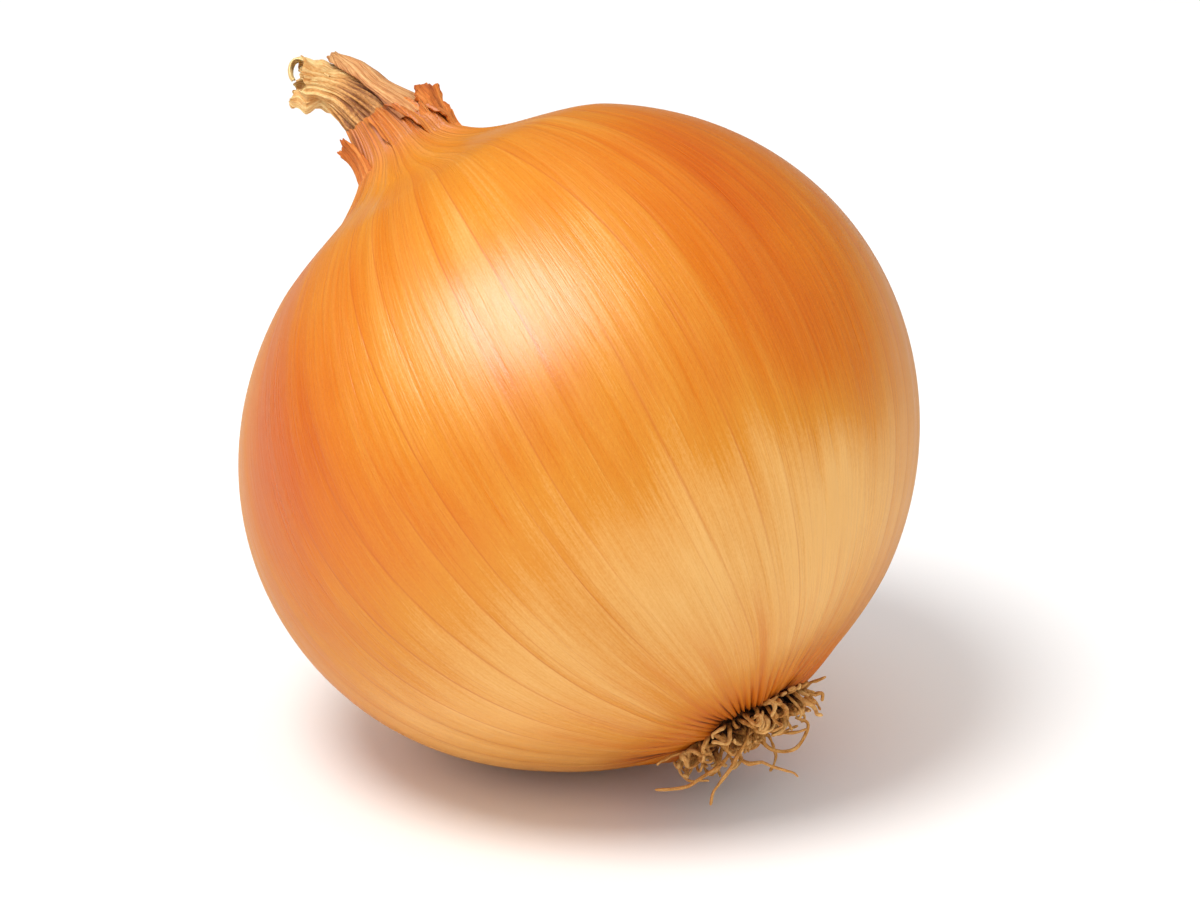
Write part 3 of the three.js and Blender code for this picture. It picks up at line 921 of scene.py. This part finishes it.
def make_leaf_tip():
    """A narrow strip of the pale leaf that stands out of its end and hooks down."""
    rows, columns = 48, 24
    u, v = np.meshgrid(np.linspace(0, 1, rows), np.linspace(0, 1, columns), indexing="ij")
    path = spline(TIP_HOOK, rows)
    along = np.gradient(path, axis=0)
    along /= np.linalg.norm(along, axis=1, keepdims=True)
    across = 2 * v - 1
    half = (1.5 - 1.0 * u) * (1 + 0.2 * torn(u, 12, 161))
    bulge = 0.35 * across**2 * (1 - u) + 0.10 * waves(3 * v, 2 * u, range(2, 7), 162, 2.0)

    def side(inset):
        depth = bulge - inset
        x = path[:, None, 0] + along[:, None, 1] * depth
        z = path[:, None, 1] - along[:, None, 0] * depth
        return np.stack([x, 0.3 + half * across, z], -1)

    points, faces = closed_sheet(side(0.0), side(0.14))
    grain = np.stack([np.cos(3 * v), np.sin(3 * v), u], -1).reshape(-1, 3)
    tone = (1.0 + 0.12 * np.sin(9 * v) - 0.3 * (1 - u)).ravel()
    piece = add_piece(
        "pale_leaf_tip",
        points,
        faces,
        PALE_LEAF,
        (),
        "pale_leaf",
        grain=np.tile(grain, (2, 1)),
        tone=np.concatenate([tone, tone - 0.05]),
    )
    sharpen(piece, 60)


# The brown outer leaf: a channel round its own line, given by height: the line's x, the half widths,
# and the angles in degrees of its front and back edges.
OUTER_HEIGHTS = (41.6, 43.6, 45.6, 47.4, 49.0, 50.6, 51.8, 52.7, 53.3)
OUTER_MIDDLE = (0.6, 0.9, 1.2, 1.7, 1.9, 1.9, 1.9, 2.0, 2.1)
OUTER_FORWARD = (0, 0, 0, 0, 0.1, 0.3, 0.7, 1.0, 1.1)
OUTER_WIDE = (5.9, 5.35, 4.3, 3.7, 3.4, 2.7, 1.6, 0.75, 0.6)
OUTER_DEEP = (5.8, 5.2, 4.4, 3.6, 2.9, 2.1, 1.4, 0.75, 0.6)
OUTER_FRONT = (106, 104, 106, 108, 104, 90, 72, 30, 10)
OUTER_BACK = (250, 240, 232, 228, 232, 245, 275, 310, 320)


def make_outer_leaf():
    rows, columns = 70, 70
    u, v = np.meshgrid(np.linspace(0, 1, rows), np.linspace(0, 1, columns), indexing="ij")
    end = 0.95 + 0.03 * torn(v, 8, 101) + 0.02 * torn(v, 30, 102)
    height = OUTER_HEIGHTS[0] + (OUTER_HEIGHTS[-1] - OUTER_HEIGHTS[0]) * u * end
    middle = np.interp(height, OUTER_HEIGHTS, OUTER_MIDDLE)
    front = np.interp(height, OUTER_HEIGHTS, OUTER_FRONT)
    back = np.interp(height, OUTER_HEIGHTS, OUTER_BACK)
    angle = np.radians(front + (back - front) * v)
    relief = 0.08 * waves(2.5 * v, u, range(3, 8), 103, 2.5)
    relief = relief + 0.035 * waves(2.5 * v, u, range(12, 26), 104, 6.0)
    wide = np.interp(height, OUTER_HEIGHTS, OUTER_WIDE) + relief
    deep = np.interp(height, OUTER_HEIGHTS, OUTER_DEEP) + relief
    forward = np.interp(height, OUTER_HEIGHTS, OUTER_FORWARD)

    def side(inset):
        x = middle + (wide - inset) * np.cos(angle)
        return np.stack([x, forward + (deep - inset) * np.sin(angle), height], -1)

    points, faces = closed_sheet(side(0.0), side(0.2))
    grain = np.stack([np.cos(angle), np.sin(angle), height / BULB_RADIUS], -1).reshape(-1, 3)
    tone = (0.5 + 0.1 * np.sin(7 * v) - 0.25 * np.exp(-v / 0.03) + 0.1 * u).ravel()
    piece = add_piece(
        "dry_leaf_outer",
        points,
        faces,
        DRY_LEAF,
        ("neck_leaf_outer",),
        "dry_leaf",
        grain=np.tile(grain, (2, 1)),
        tone=np.concatenate([tone, tone - 0.15]),
    )
    sharpen(piece, 50)


# ---------------------------------------------------------------- roots

ROOT_THICKNESS = 0.54
LONG_ROOT_THICKNESS = 0.5
CROWN_RADIUS = 6.7
CROWN_GAP = 0.35
TUFT_COUNT = 175
TUFT_RADIUS = 7.3
MAT_RADIUS = 7.7  # the mat of short roots: its radius, how far its edge frays, and its depth
MAT_FRAY = 1.6
MAT_DEPTH = 7.0

# The long roots, as the points that each one passes through: +X and +Y as the onion's own frame, and
# the third number the distance out from the crown's seat.
LONG_ROOTS = {
    "root_left_low": [
        (3.4, 3.2, 1.4), (4.6, 4, 1), (6.7, 4.2, 0.5),
        (8.4, 4.2, -0.1), (10.1, 4.1, -0.4), (11.1, 4, -0.3),
    ],
    "root_left_long": [
        (1.9, 4, 1.2), (3.8, 4.8, 3), (6.9, 5.4, 3.7),
        (9, 5.6, 3.8), (11.1, 5.6, 2.9), (12.5, 5.6, 2.2),
    ],
    "root_down": [
        (-0.4, 4, 1.2), (1, 5, 2.7), (2.2, 5.4, 3.4),
        (3.8, 5.8, 4.5), (6.7, 6.6, 5.9), (7.9, 7, 6.9),
    ],
    "root_front_right": [
        (1.3, 1.5, 1.2), (2.3, 2.8, 4), (0.4, 4, 5.9),
        (-0.9, 4.4, 7.1), (-1.9, 4.7, 8.2), (-2.1, 4.7, 9.1),
    ],
    "root_left_loop": [
        (4.2, 1.2, 1.2), (6, 1.4, 1.3), (7.8, 1.5, 0.8),
        (9.1, 1.5, 1.8), (8.6, 1.6, 3.2), (6.7, 1.8, 4.1),
    ],
    "root_right_arc": [
        (-0.6, 1, 1.2), (-1.2, 0.8, 4.4), (-3.2, 0.6, 5.8),
        (-5, 0.4, 5.4), (-6.3, 0.2, 4.1), (-5.4, 0.2, 3),
    ],
    "root_right_short": [(-1.6, 2.2, 1.2), (-2.6, 2.4, 3.5), (-4, 2.4, 4.3), (-5.6, 2.4, 4.9)],
    "root_right_hook": [(-4.6, 0, 1.3), (-6.9, 0, 1.7), (-8.4, 0, 1.6), (-9.3, 0, 2.2), (-9, 0, 3)],
    "root_right_tip": [
        (-4.4, -1.8, 1.2), (-6.6, -1.8, 0.9), (-7.9, -1.6, 0.5),
        (-9.2, -1.4, 0.4), (-10.6, -1.2, 0.7),
    ],
    "root_back": [(-1, -3.4, 1.2), (-1.6, -4.8, 3.4), (-1, -5.8, 5.2), (0.4, -6.4, 6.4)],
    "root_back_left": [(3, -3.4, 1.2), (4.2, -4.6, 2), (5.2, -5.6, 2.8), (5.4, -6.2, 3.8)],
}


def root_shape(path, thickness, seed, base_tone):
    """A knobbly tapering root with blunt ends, as points, faces, grain and tone."""
    rng = np.random.default_rng(seed)
    count = len(path)
    share = np.linspace(0, 1, count)
    knobs = 1 + 0.16 * np.interp(share, np.linspace(0, 1, 13), rng.normal(0, 1, 13))
    radius = 0.5 * thickness * knobs * (1 - 0.35 * share)
    radius[0] *= 0.7
    radius[-1] *= 0.55
    points, faces, along, around = tube(path, radius, 8)
    grain = np.stack([np.cos(around) + seed, np.sin(around), along], -1)
    # Darker at the root's foot by the plate, partly its own darker base and partly painted shade; paler
    # towards its tip.
    tone = base_tone - 0.45 * np.exp(-along / 0.12) + 0.15 * along
    return points, faces, grain, tone


def make_long_roots():
    for k, (node, points) in enumerate(LONG_ROOTS.items()):
        through = [(middle_at(SEAT_HEIGHT) + x, y, SEAT_HEIGHT - CROWN_GAP - out) for x, y, out in points]
        path = spline(through, 48)
        rng = np.random.default_rng(200 + k)
        share = np.linspace(0, 1, len(path))
        for axis in range(3):
            wander = np.interp(share, np.linspace(0, 1, 8), rng.normal(0, 0.10, 8))
            path[:, axis] += wander * smooth(0, 0.2, share)
        path = lifted(path, 0.45)
        shape, faces, grain, tone = root_shape(path, LONG_ROOT_THICKNESS, 200 + k, 0.62)
        add_piece("long_" + node, shape, faces, ROOT, (node,), "root", grain=grain, tone=tone)


def short_root_path(rng, start, outward, stalk, length, curl):
    """A root that starts at a point of the plate, runs nearly straight for its stalk, then curls."""
    steps = 26
    heading = np.array(outward, float)
    bend_axis = np.cross(heading, rng.normal(0, 1, 3))
    bend_axis /= np.linalg.norm(bend_axis)
    path = [np.array(start, float)]
    step = length / steps
    for k in range(steps):
        bend_axis = bend_axis + 0.2 * rng.normal(0, 1, 3)
        bend_axis /= np.linalg.norm(bend_axis)
        bend = 0.12 + curl * smooth(stalk - 0.4, stalk + 0.4, k * step)
        heading = heading + bend * step * np.cross(bend_axis, heading)
        heading /= np.linalg.norm(heading)
        path.append(path[-1] + step * heading)
    return np.array(path)


def matted(path):
    """The path, pressed into the flat mat that the short roots make."""
    x = path[:, 0] - middle_at(SEAT_HEIGHT)
    rho = np.hypot(x, path[:, 1])
    over = np.maximum(0, rho - MAT_RADIUS)
    shrink = (np.minimum(rho, MAT_RADIUS) + MAT_FRAY * np.tanh(over / MAT_FRAY)) / np.maximum(rho, 0.01)
    out = SEAT_HEIGHT - path[:, 2]
    depth = MAT_DEPTH * np.tanh(np.maximum(out, 0.1 + 0.5 * smooth(6, 8, rho)) / MAT_DEPTH)
    return np.stack(
        [middle_at(SEAT_HEIGHT) + x * shrink, path[:, 1] * shrink, SEAT_HEIGHT - depth], -1
    )


def make_root_tuft():
    rng = np.random.default_rng(7)
    points, faces, grain, tone = [], [], [], []
    start = 0
    for k in range(TUFT_COUNT):
        spread = math.sqrt((k + 0.5) / TUFT_COUNT)
        angle = k * math.pi * (3 - math.sqrt(5))
        rho = TUFT_RADIUS * spread
        foot = (
            middle_at(SEAT_HEIGHT) + rho * math.cos(angle),
            rho * math.sin(angle),
            SEAT_HEIGHT - 0.1,
        )
        splay = 1.0 * spread**3 + rng.normal(0, 0.3)
        turn = angle + rng.normal(0, 0.5)
        outward = (
            math.sin(splay) * math.cos(turn),
            math.sin(splay) * math.sin(turn),
            -math.cos(splay),
        )
        stalk = rng.uniform(0.3, 3.6)
        length = stalk + rng.uniform(1.2, 4.2)
        path = short_root_path(rng, foot, outward, stalk, length, rng.uniform(0.7, 1.9))
        path = lifted(matted(path), 0.5)
        thickness = ROOT_THICKNESS * rng.uniform(0.7, 1.3)
        p, f, g, t = root_shape(path, thickness, 300 + k, rng.uniform(0.5, 0.85))
        out = SEAT_HEIGHT - p[:, 2] + np.maximum(0, np.hypot(p[:, 0], p[:, 1]) - 5.5)
        points.append(p)
        faces.extend([[i + start for i in face] for face in f])
        grain.append(g)
        # Painted shade: the short roots darken deep in the tuft, near the plate, where the gaps between
        # them are shaded.
        tone.append(t - 0.75 * smooth(3.6, 0.5, out))
        start += len(p)
    add_piece(
        "root_tuft",
        np.concatenate(points),
        faces,
        ROOT,
        ("root_crown",),
        "crown",
        grain=np.concatenate(grain),
        tone=np.concatenate(tone),
    )


def make_root_plate():
    """The hard plate that the roots grow from: a low lumpy dome on the seat."""
    rows, columns = 24, 96
    share = np.linspace(0.02, 1, rows)[:, None]
    angle = np.linspace(0, TAU, columns, endpoint=False)[None, :]
    lumps = waves(angle, 6 * share, range(3, 12), 5, 1.0)
    radius = CROWN_RADIUS * share * (1 + 0.02 * lumps)
    height = SEAT_HEIGHT + 0.3 - 1.2 * np.sqrt(1.001 - share**2) - 0.12 * lumps * (1 - share)
    x = middle_at(SEAT_HEIGHT) + radius * np.cos(angle)
    points = np.stack([x, radius * np.sin(angle), height], -1).reshape(-1, 3)
    faces = [list(f)[::-1] for f in grid_faces(rows, columns, True)]
    faces.append(list(range(columns)))
    faces.append([(rows - 1) * columns + k for k in range(columns)][::-1])
    grain = points / 10
    add_piece("root_plate", points, faces, PLATE, (), "crown", grain=grain)


# ---------------------------------------------------------------- table, lights and camera

CAMERA_DISTANCE = 0.64
CAMERA_RISE = math.radians(22)
VIEW_WIDTH = 0.138  # width of what the camera takes in at the onion
SENSOR = 36.0
AIM_RIGHT = 0.00246
AIM_DOWN = 0.00146
TABLE_HALF = 3.0
TABLE_DROP = 0.00002  # how far the table lies under the onion's flat spot
TABLE_WHITE = (0.9, 0.9, 0.9, 1.0)
TABLE_REFLECTED = (0.64, 0.58, 0.48, 1.0)  # the table's colour where a glossy surface mirrors it
WORLD_LIGHT = 0.84  # strength of the soft light from all round
WORLD_GLOSS = 0.1  # strength of the same light where a glossy surface mirrors it

# The two lights: where each one stands from the onion, its width and height, its power and its
# colour. The key only lights surfaces, and the softbox is only seen in reflections.
LIGHT_DISTANCE = 0.9
KEY_LIGHT = ((-0.31, -0.30, 0.90), (0.38, 0.38), 6.1, (1.0, 0.985, 0.96))
SOFTBOX = ((-0.37, -0.35, 0.87), (0.80, 0.56), 13.5, (0.97, 1.0, 1.16))


def make_table():
    mesh = bpy.data.meshes.new("table")
    square = ((-1, -1), (1, -1), (1, 1), (-1, 1))
    mesh.from_pydata([(TABLE_HALF * x, TABLE_HALF * y, -TABLE_DROP) for x, y in square], [], [(0, 1, 2, 3)])
    s = Shader("table_white")
    ray = s.tree.nodes.new("ShaderNodeLightPath")
    white = s.mix(ray.outputs["Is Glossy Ray"], TABLE_WHITE, TABLE_REFLECTED)
    s.set(Base_Color=white, Roughness=0.6)
    mesh.materials.append(s.material)
    table = bpy.data.objects.new("table", mesh)
    bpy.context.scene.collection.objects.link(table)


def add_light(name, towards, size, power, color):
    """A soft oval light in a direction from the onion, aimed at it."""
    data = bpy.data.lights.new(name, "AREA")
    data.shape = "ELLIPSE"
    data.size, data.size_y = size
    data.energy = power
    data.color = color
    lamp = bpy.data.objects.new(name, data)
    direction = Vector(towards).normalized()
    lamp.location = Vector(MIDDLE) + LIGHT_DISTANCE * direction
    lamp.rotation_euler = direction.to_track_quat("Z", "Y").to_euler()
    bpy.context.scene.collection.objects.link(lamp)
    return lamp


def make_lights():
    world = bpy.data.worlds.new("studio")
    world.use_nodes = True
    background = world.node_tree.nodes["Background"]
    background.inputs["Color"].default_value = (1.0, 1.0, 1.0, 1.0)
    ray = world.node_tree.nodes.new("ShaderNodeLightPath")
    level = world.node_tree.nodes.new("ShaderNodeMapRange")
    level.inputs["To Min"].default_value = WORLD_LIGHT
    level.inputs["To Max"].default_value = WORLD_GLOSS
    world.node_tree.links.new(ray.outputs["Is Glossy Ray"], level.inputs["Value"])
    world.node_tree.links.new(level.outputs[0], background.inputs["Strength"])
    bpy.context.scene.world = world
    key = add_light("key", *KEY_LIGHT)
    key.visible_glossy = False
    softbox = add_light("softbox", *SOFTBOX)
    softbox.visible_diffuse = False


def make_camera():
    data = bpy.data.cameras.new("camera")
    data.sensor_width = SENSOR
    data.lens = SENSOR * CAMERA_DISTANCE / VIEW_WIDTH
    camera = bpy.data.objects.new("camera", data)
    away = Vector((0, -math.cos(CAMERA_RISE), math.sin(CAMERA_RISE)))
    up = Vector((0, math.sin(CAMERA_RISE), math.cos(CAMERA_RISE)))
    aim = Vector(MIDDLE) + AIM_RIGHT * Vector((1, 0, 0)) - AIM_DOWN * up
    camera.location = aim + CAMERA_DISTANCE * away
    camera.rotation_euler = away.to_track_quat("Z", "Y").to_euler()
    bpy.context.scene.collection.objects.link(camera)
    bpy.context.scene.camera = camera
    bpy.context.scene.view_settings.view_transform = "Standard"


# ---------------------------------------------------------------- the whole scene

make_camera()
make_bulb()
make_flaps()
neck_sheet(
    "torn_skin_front", 40, 60, front_flap_place, SKIN, ("skin_flap_front",), "flap", layer_tone
)
neck_sheet(
    "skin_layer_right", 40, 110, right_layer_place, SKIN, ("skin_layer_right",), "flap", layer_tone
)
neck_sheet("skin_layer_edge", 34, 70, right_edge_place, SKIN, (), "flap", layer_tone)
neck_sheet("torn_skin_right", 30, 60, castle_place, FLAP, ("skin_flap_right",), "flap", flap_tone)
neck_sheet("torn_skin_tip", 20, 30, tip_place, FLAP, (), "flap", flap_tone)
inner_leaf("pale_leaf_inner", 1.0, 0.0, 1.0, 111, ("neck_leaf_inner",), 0.0)
inner_leaf("pale_leaf_core", 0.66, 0.2, 0.97, 121, (), 0.1)
make_leaf_tip()
make_outer_leaf()
make_root_plate()
make_root_tuft()
make_long_roots()
make_table()
make_lights()
